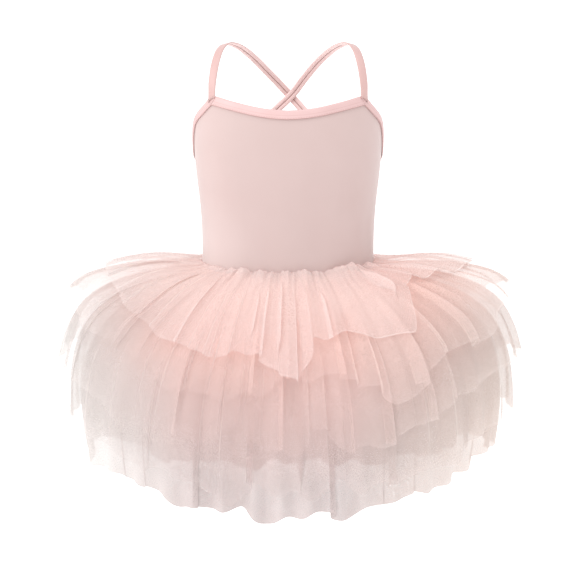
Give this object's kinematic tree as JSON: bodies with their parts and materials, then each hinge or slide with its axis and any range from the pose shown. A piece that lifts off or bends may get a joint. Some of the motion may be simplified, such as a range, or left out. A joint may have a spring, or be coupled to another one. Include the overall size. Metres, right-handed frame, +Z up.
{
  "type": "ballet tutu dress",
  "caption": "Girl's pink ballet tutu dress: close stretch bodice with bound edges, crossed back straps and a tiered gathered tulle skirt.",
  "frame": {"origin": "midway between the undersides of the two strap tops, at the height of the wearer's shoulders", "axes": "+Z up, -Y towards the front of the dress, +X towards the viewer's right when it is seen from the front"},
  "size_m": [0.4778, 0.3299, 0.4778],
  "materials": {
    "bodice_jersey": "satin",
    "trim_tape": "satin",
    "skirt_tulle": "matte"
  },
  "bodies": {
    "root": {"front_panel": "bodice_jersey", "back_panel": "bodice_jersey", "neck_binding": "trim_tape", "armhole_binding_left": "trim_tape", "armhole_binding_right": "trim_tape", "back_binding": "trim_tape", "strap_left": "trim_tape", "strap_right": "trim_tape", "skirt_tier_1": "skirt_tulle", "skirt_tier_2": "skirt_tulle", "skirt_tier_3": "skirt_tulle", "skirt_tier_4": "skirt_tulle", "skirt_tier_5": "skirt_tulle"}
  },
  "joints": []
}
